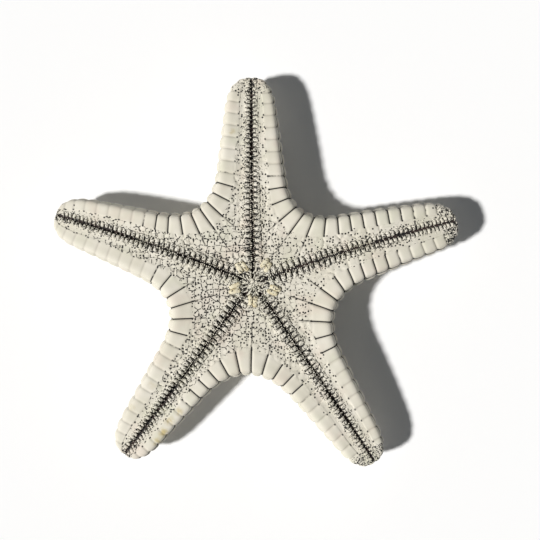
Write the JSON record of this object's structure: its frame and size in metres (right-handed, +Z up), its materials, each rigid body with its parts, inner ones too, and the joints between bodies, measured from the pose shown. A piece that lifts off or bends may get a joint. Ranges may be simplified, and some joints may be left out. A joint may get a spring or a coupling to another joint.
{
  "type": "dried starfish",
  "caption": "Dried, bleached starfish with blunt arms, lying on its back with its mouth side and grooves facing up.",
  "frame": {"origin": "on the ground below the mouth, at the worn flat of the back's middle knob", "axes": "+Z up along the mouth's axis, away from the back; +Y from the mouth towards the single upper arm of the picture; +X to the right"},
  "size_m": [0.1543, 0.1481, 0.0223],
  "materials": {
    "skeleton": "matte"
  },
  "bodies": {
    "root": {"starfish": "skeleton"}
  },
  "joints": []
}
